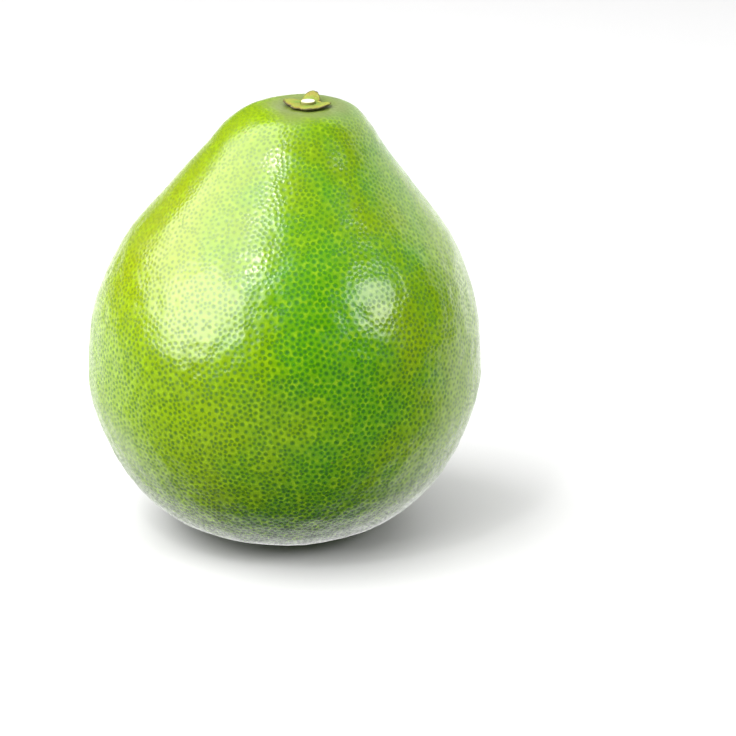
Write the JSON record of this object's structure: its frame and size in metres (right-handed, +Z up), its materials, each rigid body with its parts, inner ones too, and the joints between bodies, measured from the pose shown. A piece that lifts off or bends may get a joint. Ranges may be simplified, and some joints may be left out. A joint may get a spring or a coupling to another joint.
{
  "type": "pomelo",
  "caption": "A whole green pear-shaped pomelo with a dimpled waxy rind, a small lobed calyx and a cut stalk stub on its crown, standing on its flat blossom end",
  "frame": {"origin": "On the table under the middle of the fruit's bounding box, at the height of the flat spot it stands on", "axes": "+Z up, from the blossom end to the stalk end; +X to the side that the neck leans to; +Y away from the viewer"},
  "size_m": [0.1616, 0.159, 0.1821],
  "materials": {
    "rind": "satin",
    "sepal": "matte",
    "cut_stalk": "matte"
  },
  "bodies": {
    "root": {"fruit": "rind", "calyx": "sepal", "stalk_stub": "cut_stalk"}
  },
  "joints": []
}
